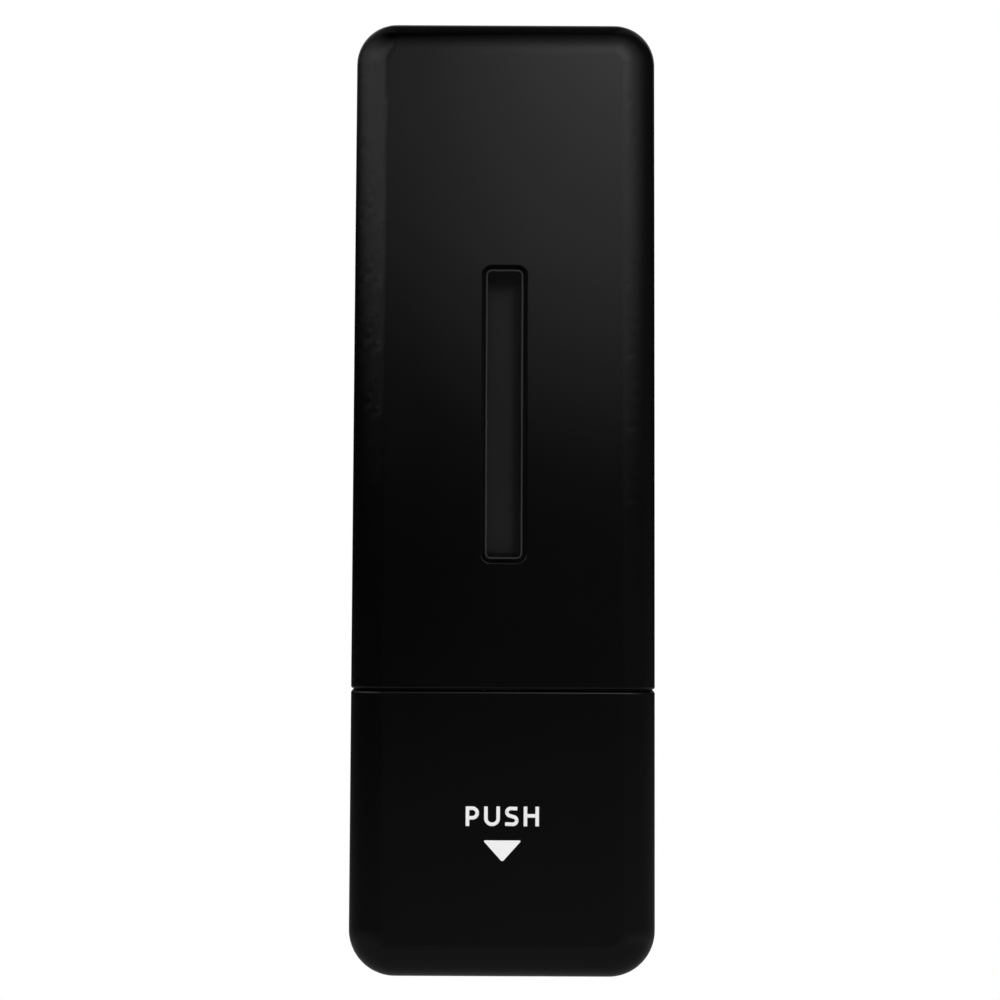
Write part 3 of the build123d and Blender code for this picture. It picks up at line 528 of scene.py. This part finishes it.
def coil_spring_tree():
    """A wire wound along Y, with close end turns that open out towards the middle."""
    tree, given, end = shape_tree(
        "coil_spring",
        [
            ("Turns", "NodeSocketFloat", 6.0),
            ("Coil radius", "NodeSocketFloat", 0.01),
            ("Wire radius", "NodeSocketFloat", 0.0005),
            ("End pitch", "NodeSocketFloat", 0.001),
            ("Open pitch", "NodeSocketFloat", 0.004),
            ("Start", "NodeSocketVector", None),
            ("Steps", "NodeSocketInt", 300),
        ],
    )
    steps = calc(tree, "ADD", given["Steps"], 1.0)
    line = node(tree, "GeometryNodeMeshLine", {"Count": steps})
    share = calc(tree, "DIVIDE", node(tree, "GeometryNodeInputIndex").outputs["Index"], given["Steps"])
    turn = calc(tree, "MULTIPLY", share, given["Turns"])
    angle = calc(tree, "MULTIPLY", turn, 2 * math.pi)
    # The pitch swells from its end value and back again, and the rise adds it up
    swell = calc(tree, "SINE", calc(tree, "MULTIPLY", share, 2 * math.pi))
    swell = calc(tree, "MULTIPLY", calc(tree, "MULTIPLY", swell, given["Turns"]), 0.25 / math.pi)
    opening = calc(tree, "SUBTRACT", calc(tree, "MULTIPLY", turn, 0.5), swell)
    rise = calc(
        tree,
        "ADD",
        calc(tree, "MULTIPLY", turn, given["End pitch"]),
        calc(tree, "MULTIPLY", opening, given["Open pitch"]),
    )
    across = calc(tree, "MULTIPLY", calc(tree, "COSINE", angle), given["Coil radius"])
    upward = calc(tree, "MULTIPLY", calc(tree, "SINE", angle), given["Coil radius"])
    path = node(
        tree,
        "ShaderNodeCombineXYZ",
        {"X": across, "Y": calc(tree, "MULTIPLY", rise, -1.0), "Z": upward},
    )
    place = node(tree, "ShaderNodeVectorMath", {0: path.outputs["Vector"], 1: given["Start"]})
    wound = node(
        tree,
        "GeometryNodeSetPosition",
        {"Geometry": line.outputs["Mesh"], "Position": place.outputs["Vector"]},
    )
    core = node(tree, "GeometryNodeMeshToCurve", {"Mesh": wound.outputs["Geometry"]})
    section = node(
        tree,
        "GeometryNodeCurvePrimitiveCircle",
        {"Resolution": wire_sides, "Radius": given["Wire radius"]},
    )
    close_tree(tree, given, end, swept(tree, core.outputs["Curve"], section))
    return tree


spring_low, spring_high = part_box("return_spring")
spring_middle = (spring_low + spring_high) / 2
spring_span = spring_high.y - spring_low.y - 2 * wire_radius
spring_foot = Vector((spring_middle.x, spring_high.y - wire_radius, spring_middle.z))
spring_piece = grown(
    "return_spring_wire",
    coil_spring_tree(),
    seed_mesh("spring_seed", [spring_foot]),
    Finish=finishes["steel_bright"],
    Turns=spring_turns,
    Coil_radius=(spring_high.x - spring_low.x) / 2 - wire_radius,
    Wire_radius=wire_radius,
    End_pitch=spring_end_pitch,
    Open_pitch=2 * (spring_span - spring_end_pitch * spring_turns) / spring_turns,
    Start=spring_foot,
    Steps=steps_per_turn * math.ceil(spring_turns),
)
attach(spring_piece, "housing")
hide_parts("return_spring")
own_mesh(spring_piece)


# Screws


def cross_screw_tree():
    """Pan-head screws with a crossed recess and a cut thread, one on each point of the seed."""
    tree, given, end = shape_tree(
        "cross_screw",
        [
            ("Head radius", "NodeSocketFloat", 2.0),
            ("Head height", "NodeSocketFloat", 1.5),
            ("Head crown", "NodeSocketFloat", 0.5),
            ("Recess width", "NodeSocketFloat", 0.8),
            ("Recess span", "NodeSocketFloat", 2.6),
            ("Recess depth", "NodeSocketFloat", 1.0),
            ("Thread radius", "NodeSocketFloat", 1.3),
            ("Core radius", "NodeSocketFloat", 1.0),
            ("Thread pitch", "NodeSocketFloat", 1.0),
            ("Shank", "NodeSocketFloat", 9.0),
            ("Turn", "NodeSocketVector", None),
            ("Unit", "NodeSocketFloat", 0.001),
        ],
    )
    # Head: a disc whose top falls away towards its rim
    disc = node(
        tree,
        "GeometryNodeMeshCylinder",
        {
            "Vertices": head_sides,
            "Side Segments": 2,
            "Fill Segments": 5,
            "Radius": given["Head radius"],
            "Depth": given["Head height"],
        },
        fill_type="NGON",
    )
    place = node(tree, "GeometryNodeInputPosition").outputs["Position"]
    spot = node(tree, "ShaderNodeSeparateXYZ", {0: place})
    flat = node(tree, "ShaderNodeCombineXYZ", {"X": spot.outputs["X"], "Y": spot.outputs["Y"]})
    reach = node(tree, "ShaderNodeVectorMath", {0: flat.outputs["Vector"]}, operation="LENGTH")
    reach = calc(tree, "DIVIDE", reach.outputs["Value"], given["Head radius"])
    fall = calc(tree, "MULTIPLY", calc(tree, "POWER", reach, crown_power), given["Head crown"])
    drop = node(tree, "ShaderNodeCombineXYZ", {"Z": calc(tree, "MULTIPLY", fall, -1.0)})
    crowned = node(
        tree,
        "GeometryNodeSetPosition",
        {
            "Geometry": disc.outputs["Mesh"],
            "Selection": calc(tree, "GREATER_THAN", spot.outputs["Z"], crown_start),
            "Offset": drop.outputs["Vector"],
        },
    )
    half_height = calc(tree, "MULTIPLY", given["Head height"], 0.5)
    head = raised(tree, crowned.outputs["Geometry"], half_height)
    # Recess: two crossing slots, twice as tall as the head
    floor_height = calc(tree, "SUBTRACT", given["Head height"], given["Recess depth"])
    slot_height = calc(tree, "MULTIPLY", given["Head height"], 2.0)
    slot_middle = calc(tree, "ADD", floor_height, calc(tree, "MULTIPLY", slot_height, 0.5))
    cut = node(tree, "GeometryNodeMeshBoolean", {"Mesh 1": head}, operation="DIFFERENCE")
    for along, beside in (("X", "Y"), ("Y", "X")):
        sides = {along: given["Recess span"], beside: given["Recess width"], "Z": slot_height}
        size = node(tree, "ShaderNodeCombineXYZ", sides).outputs["Vector"]
        slot = node(tree, "GeometryNodeMeshCube", {"Size": size})
        tree.links.new(raised(tree, slot.outputs["Mesh"], slot_middle), cut.inputs["Mesh 2"])
    # Shank: a core with a ridge wound round it
    core = node(
        tree,
        "GeometryNodeMeshCone",
        {
            "Vertices": core_sides,
            "Radius Top": given["Core radius"],
            "Radius Bottom": calc(tree, "MULTIPLY", given["Core radius"], core_taper),
            "Depth": given["Shank"],
        },
    )
    shank = raised(tree, core.outputs["Mesh"], calc(tree, "MULTIPLY", given["Shank"], -1.0))
    ridge_depth = calc(tree, "SUBTRACT", given["Thread radius"], given["Core radius"])
    ridge_run = calc(tree, "SUBTRACT", given["Shank"], given["Thread pitch"])
    helix = node(
        tree,
        "GeometryNodeCurveSpiral",
        {
            "Resolution": thread_steps,
            "Rotations": calc(tree, "DIVIDE", ridge_run, given["Thread pitch"]),
            "Start Radius": given["Core radius"],
            "End Radius": given["Core radius"],
            "Height": ridge_run,
        },
    )
    lead = calc(tree, "MULTIPLY", given["Thread pitch"], thread_lead)
    wound = raised(tree, helix.outputs["Curve"], calc(tree, "SUBTRACT", lead, given["Shank"]))
    edge = node(
        tree,
        "GeometryNodeCurvePrimitiveCircle",
        {"Resolution": ridge_sides, "Radius": ridge_depth},
    )
    screw = node(tree, "GeometryNodeJoinGeometry", {"Geometry": cut.outputs["Mesh"]})
    tree.links.new(shank, screw.inputs["Geometry"])
    tree.links.new(swept(tree, wound, edge), screw.inputs["Geometry"])
    unit = node(
        tree,
        "ShaderNodeCombineXYZ",
        {"X": given["Unit"], "Y": given["Unit"], "Z": given["Unit"]},
    )
    turned = node(tree, "FunctionNodeEulerToRotation", {"Euler": given["Turn"]})
    set_in = node(
        tree,
        "GeometryNodeInstanceOnPoints",
        {
            "Points": given["Seed"],
            "Instance": screw.outputs["Geometry"],
            "Rotation": turned.outputs["Rotation"],
            "Scale": unit.outputs["Vector"],
        },
    )
    close_tree(tree, given, end, set_in.outputs["Instances"])
    return tree


def screw_places(name, rows):
    """Middle of each screw of a node, found by its side and, with two rows, by its height."""
    low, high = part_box(name)
    middle_z = (low.z + high.z) / 2
    clusters = {}
    for vertex in frame["nodes"][name].data.vertices:
        upper = rows > 1 and vertex.co.z > middle_z
        clusters.setdefault((vertex.co.x > 0, upper), []).append(vertex.co)
    places = []
    for points in clusters.values():
        x = (min(p.x for p in points) + max(p.x for p in points)) / 2
        z = (min(p.z for p in points) + max(p.z for p in points)) / 2
        places.append((x, z))
    return places


cross_screw = cross_screw_tree()
for name, rows, faces_wall in (("cover_screws", 2, True), ("pump_screws", 1, False)):
    low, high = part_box(name)
    seat_y = high.y - head_height * MM if faces_wall else low.y + head_height * MM
    points = [(x, seat_y, z) for x, z in screw_places(name, rows)]
    screws = grown(
        "cross_" + name,
        cross_screw,
        seed_mesh(name + "_seed", points),
        Finish=finishes["steel_bright"],
        Head_radius=head_radius,
        Head_height=head_height,
        Head_crown=head_crown,
        Recess_width=recess_width,
        Recess_span=recess_span,
        Recess_depth=recess_depth,
        Thread_radius=thread_radius,
        Core_radius=core_radius,
        Thread_pitch=thread_pitch,
        Shank=(high.y - low.y) / MM - head_height,
        Turn=(-math.pi / 2 if faces_wall else math.pi / 2, 0, 0),
        Unit=MM,
    )
    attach(screws, "housing")
    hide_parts(name)


# Printed legend


def printed_stroke_tree():
    """Flat strokes of print along the edges of a seed drawn in XY, then stood up on a front face."""
    tree, given, end = shape_tree(
        "printed_stroke",
        [
            ("Stroke width", "NodeSocketFloat", 0.001),
            ("Turn radius", "NodeSocketFloat", 0.001),
            ("Ink height", "NodeSocketFloat", 0.00003),
            ("Place", "NodeSocketVector", None),
        ],
    )
    line = node(tree, "GeometryNodeMeshToCurve", {"Mesh": given["Seed"]})
    bent = node(
        tree,
        "GeometryNodeFilletCurve",
        {
            "Curve": line.outputs["Curve"],
            "Count": 10,
            "Radius": given["Turn radius"],
            "Limit Radius": True,
        },
        mode="POLY",
    )
    section = node(
        tree,
        "GeometryNodeCurvePrimitiveQuadrilateral",
        {"Width": given["Stroke width"], "Height": given["Ink height"]},
    )
    ink = swept(tree, bent.outputs["Curve"], section)
    stood = node(
        tree,
        "GeometryNodeTransform",
        {"Geometry": ink, "Rotation": (math.pi / 2, 0, 0), "Translation": given["Place"]},
    )
    close_tree(tree, given, end, stood.outputs["Geometry"])
    return tree


def letter_strokes():
    """Lines of the four capitals, each as its width and the paths of its strokes."""
    half = stroke_width / 2
    foot = half
    top = cap_height - half
    waist = cap_height / 2
    bowl_foot = bowl_share * cap_height + half
    bar_z = bar_share * cap_height
    slant = 0.3 * MM
    short = 0.28 * MM
    droop = 0.06 * MM
    p_width, u_width, s_width, h_width = 2.93 * MM, 3.5 * MM, 2.96 * MM, 3.38 * MM
    p_side, u_side, s_side, h_side = (w - half for w in (p_width, u_width, s_width, h_width))
    p_paths = [
        [(half, 0), (half, cap_height)],
        [(stroke_width, top), (p_side, top), (p_side, bowl_foot), (stroke_width, bowl_foot)],
    ]
    u_paths = [[(half, cap_height), (half, foot), (u_side, foot), (u_side, cap_height)]]
    s_upper = [(s_width - short, top - droop), (half, top), (half, waist + slant)]
    s_lower = [(s_side, waist - slant), (s_side, foot), (0, foot + droop)]
    h_paths = [
        [(half, 0), (half, cap_height)],
        [(h_side, 0), (h_side, cap_height)],
        [(stroke_width, bar_z), (h_side - half, bar_z)],
    ]
    return [(p_width, p_paths), (u_width, u_paths), (s_width, [s_upper + s_lower]), (h_width, h_paths)]


def legend_seed():
    """Edges of the whole word, centred."""
    letters = letter_strokes()
    length = sum(width for width, paths in letters) + letter_gap * (len(letters) - 1)
    start = -length / 2
    points = []
    edges = []
    for width, paths in letters:
        for path in paths:
            first = len(points)
            points += [(start + x, z - cap_height / 2, 0) for x, z in path]
            edges += [(n, n + 1) for n in range(first, len(points) - 1)]
        start += width + letter_gap
    return seed_mesh("legend_seed", points, edges)


def press_arrow(front_y):
    """A printed triangle that points down, with its corners rounded."""
    shape = bmesh.new()
    half = arrow_width / 2
    outline = [(-half, arrow_top_z), (half, arrow_top_z), (0, arrow_top_z - arrow_drop)]
    back = shape.faces.new([shape.verts.new((x, front_y, z)) for x, z in outline])
    front = bmesh.ops.extrude_face_region(shape, geom=[back])["geom"]
    front_points = [item for item in front if isinstance(item, bmesh.types.BMVert)]
    bmesh.ops.translate(shape, verts=front_points, vec=(0, -ink_height, 0))
    corners = [
        edge
        for edge in shape.edges
        if abs(edge.verts[0].co.y - edge.verts[1].co.y) > ink_height / 2
    ]
    bmesh.ops.bevel(
        shape, geom=corners, offset=2 * arrow_round, segments=8, profile=0.5, affect="EDGES"
    )
    bmesh.ops.recalc_face_normals(shape, faces=shape.faces)
    mesh = bpy.data.meshes.new("press_arrow")
    shape.to_mesh(mesh)
    shape.free()
    mesh.materials.append(white_ink)
    return link_in(bpy.data.objects.new("press_arrow", mesh))


button_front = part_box("push_button")[0].y
legend = grown(
    "press_legend",
    printed_stroke_tree(),
    legend_seed(),
    Finish=white_ink,
    Stroke_width=stroke_width,
    Turn_radius=stroke_turn,
    Ink_height=ink_height,
    Place=(0, button_front - ink_height / 2, legend_z),
)
for printed in (legend, press_arrow(button_front)):
    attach(printed, "button")


# Level window


def window_insert():
    """The smoked lens with a pale satin bevel, and dark where the slot's groove shows it."""
    mesh = frame["nodes"]["window_lens"].data.copy()
    mesh.name = "window_insert"
    mesh.materials.clear()
    for material in (finishes["smoked_lens"], lens_edge, groove_black):
        mesh.materials.append(material)
    clear_index, bevel_index, dark_index = range(len(mesh.materials))
    bevel = [
        face for face in mesh.polygons if bevel_facing_least < -face.normal.y < bevel_facing_most
    ]
    land = [mesh.vertices[index].co for face in bevel for index in face.vertices]
    land_half = max(point.x for point in land)
    land_low = min(point.z for point in land)
    land_high = max(point.z for point in land)
    for face in mesh.polygons:
        outside = abs(face.center.x) > land_half or not land_low < face.center.z < land_high
        upright = abs(face.normal.y) < bevel_facing_least
        face.material_index = dark_index if outside or upright else clear_index
    for face in bevel:
        face.material_index = bevel_index
    return link_in(bpy.data.objects.new("window_insert", mesh))


insert = window_insert()
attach(insert, "housing")
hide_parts("window_lens")


# Camera
camera_data = bpy.data.cameras.new("front_camera")
camera_data.sensor_width = sensor_width
camera_data.lens = sensor_width * view_distance / picture_width
camera = link_in(bpy.data.objects.new("front_camera", camera_data))
camera.location = (view_middle_x, outline_depth - view_distance, view_middle_z)
camera.rotation_euler = (math.radians(90), math.radians(view_roll), 0)
scene.camera = camera


# Studio


def dome_point(azimuth, elevation, distance):
    """A point round the object's front: azimuth 0 is straight ahead of it, and 90 is on its right."""
    turn = math.radians(azimuth)
    rise = math.radians(elevation)
    across = math.cos(rise) * math.sin(turn)
    ahead = math.cos(rise) * math.cos(turn)
    return dome_middle + distance * Vector((across, -ahead, math.sin(rise)))


def sheet_of_points(name, columns, rows, place):
    """A grid of faces whose points a rule places from its two values."""
    points = [place(column, row) for row in rows for column in columns]
    count = len(columns)
    corners = [row * count + column for row in range(len(rows) - 1) for column in range(count - 1)]
    faces = [(first, first + 1, first + count + 1, first + count) for first in corners]
    mesh = bpy.data.meshes.new(name)
    mesh.from_pydata(points, [], faces)
    made = link_in(bpy.data.objects.new(name, mesh))
    made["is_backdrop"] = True
    return made


def steps_between(start, end, size):
    """Even values from start to end, about a size apart."""
    count = max(1, math.ceil(abs(end - start) / size))
    return [start + (end - start) * step / count for step in range(count + 1)]


def eased(value, start, full, full_end, end):
    """Smooth rise from start to full, and smooth fall from full_end to end."""
    rise = min(max((value - start) / (full - start), 0), 1)
    fall = min(max((end - value) / (end - full_end), 0), 1)
    share = min(rise, fall)
    return share * share * (3 - 2 * share)


def glowing(name, made):
    """Gives a stage object a plain white glow, as strong as its own values say."""
    material = bpy.data.materials.new(name)
    material.use_nodes = True
    tree = material.node_tree
    tree.nodes.clear()
    strength = node(tree, "ShaderNodeAttribute", attribute_name="glow").outputs["Fac"]
    glow = node(tree, "ShaderNodeEmission", {"Strength": strength})
    node(tree, "ShaderNodeOutputMaterial", {"Surface": glow.outputs["Emission"]})
    made.data.materials.append(material)
    made.visible_camera = False


def set_glow(made, values):
    """Stores the glow of each point of a stage object."""
    made.data.attributes.new("glow", "FLOAT", "POINT").data.foreach_set("value", values)


def scrim(brightness, azimuths, elevations):
    """A cloth lit from behind, bright between its inner limits and fading to its outer ones."""

    def glow(azimuth, elevation):
        around = (azimuth - 360, azimuth, azimuth + 360)
        across = max(eased(turn, *azimuths) for turn in around)
        return brightness * across * eased(elevation, *elevations)

    return glow


def gloss_only(made):
    """Leaves a stage object to reflections alone."""
    made.visible_diffuse = False
    made.visible_transmission = False
    made.visible_shadow = False


def studio_dome(tone, scrims):
    """The dim studio with its lit cloths, seen in gloss and through the lens."""
    columns = steps_between(-180.0, 180.0, dome_step)
    rows = steps_between(dome_foot, 90.0, dome_step)
    made = sheet_of_points("studio_dome", columns, rows, lambda a, e: dome_point(a, e, dome_distance))
    set_glow(made, [tone + sum(part(a, e) for part in scrims) for e in rows for a in columns])
    glowing("studio_dome", made)
    gloss_only(made)
    made.visible_transmission = True


def floor_gloss(height, tone):
    """What gloss sees of the floor round the object: an even, dim tone."""
    limits = (-dome_distance, dome_distance)
    made = sheet_of_points("floor_gloss", limits, limits, lambda x, y: (x, y, height))
    set_glow(made, [tone] * len(made.data.vertices))
    glowing("floor_gloss", made)
    gloss_only(made)


def pale_floor(height):
    """A wide floor, pale round the object and white far off, that hides nothing from below."""
    limits = (-floor_reach, floor_reach)
    floor = sheet_of_points("studio_floor", limits, limits, lambda x, y: (x, y, height))
    material, tree, shader = finish("pale_floor", Base_Color=floor_tone, Roughness=floor_roughness)
    place = node(tree, "ShaderNodeTexCoord").outputs["Object"]
    reach = node(tree, "ShaderNodeVectorMath", {0: place}, operation="LENGTH").outputs["Value"]
    fade = smooth_rise(tree, reach, white_start, white_full)
    glow = node(tree, "ShaderNodeEmission", {"Color": white})
    mixed = node(tree, "ShaderNodeMixShader", {"Fac": fade})
    tree.links.new(shader.outputs["BSDF"], mixed.inputs[1])
    tree.links.new(glow.outputs["Emission"], mixed.inputs[2])
    below = node(tree, "ShaderNodeNewGeometry").outputs["Backfacing"]
    open_below = node(tree, "ShaderNodeMixShader", {"Fac": below})
    clear = node(tree, "ShaderNodeBsdfTransparent")
    tree.links.new(mixed.outputs["Shader"], open_below.inputs[1])
    tree.links.new(clear.outputs["BSDF"], open_below.inputs[2])
    tree.links.new(open_below.outputs["Shader"], tree.nodes["Material Output"].inputs["Surface"])
    floor.data.materials.append(material)


def white_world(ambient):
    """White to the eye and in gloss, and a plain even light on the object."""
    world = bpy.data.worlds.new("studio_white")
    world.use_nodes = True
    tree = world.node_tree
    tree.nodes.clear()
    path = node(tree, "ShaderNodeLightPath")
    seen = calc(tree, "MAXIMUM", path.outputs["Is Camera Ray"], path.outputs["Is Glossy Ray"])
    seen = calc(tree, "MAXIMUM", seen, path.outputs["Is Transmission Ray"])
    limits = {"Value": seen, "To Min": ambient, "To Max": 1.0}
    strength = node(tree, "ShaderNodeMapRange", limits).outputs["Result"]
    back = node(tree, "ShaderNodeBackground", {"Color": white, "Strength": strength})
    node(tree, "ShaderNodeOutputWorld", {"Surface": back.outputs["Background"]})
    scene.world = world


pale_floor(floor_z)
floor_gloss(floor_z + gloss_lift, gloss_tone)
# Each cloth: its brightness, then where it starts, is full, starts to fade and ends, in degrees,
# round the object and up
right_side = scrim(0.66, (-1.8, 0.8, 12.0, 105.0), (1.8, 15.5, 30.0, 95.0))
right_crest = scrim(0.5, (-0.5, 2.5, 12.0, 50.0), (15.3, 19.5, 34.0, 62.0))
front_veil = scrim(0.24, (-15.0, -11.0, -1.8, 0.8), (4.5, 17.0, 30.0, 95.0))
left_side = scrim(0.66, (-150.0, -70.0, -16.0, -10.0), (4.0, 15.5, 26.0, 77.0))
left_crest = scrim(0.16, (-90.0, -60.0, -34.0, -20.0), (16.0, 24.0, 34.0, 50.0))
low_glow = scrim(0.115, (-181.0, -180.0, 180.0, 181.0), (-100.0, -80.0, -15.0, 0.0))
right_haze = scrim(0.05, (-10.0, 10.0, 90.0, 150.0), (-101.0, -100.0, 100.0, 101.0))
low_left = scrim(0.05, (-175.0, -150.0, -30.0, -16.0), (-100.0, -80.0, -22.0, -13.0))
low_right = scrim(0.05, (16.0, 30.0, 150.0, 175.0), (-100.0, -80.0, -22.0, -13.0))
rear_scrim = scrim(0.25, (135.0, 160.0, 200.0, 225.0), (6.0, 16.0, 30.0, 45.0))
rear_crest = scrim(0.03, (110.0, 140.0, 220.0, 250.0), (25.0, 45.0, 75.0, 92.0))
rear_left = scrim(0.05, (192.0, 204.0, 220.0, 235.0), (25.0, 40.0, 75.0, 88.0))
rear_right = scrim(0.05, (125.0, 140.0, 156.0, 168.0), (25.0, 40.0, 75.0, 88.0))
front_scrims = (right_side, right_crest, front_veil, left_side, left_crest, right_haze)
low_scrims = (low_glow, low_left, low_right)
rear_scrims = (rear_scrim, rear_crest, rear_left, rear_right)
studio_dome(dome_tone, (*front_scrims, *low_scrims, *rear_scrims))
white_world(ambient_light)

scene.view_settings.view_transform = "Standard"

low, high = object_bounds()
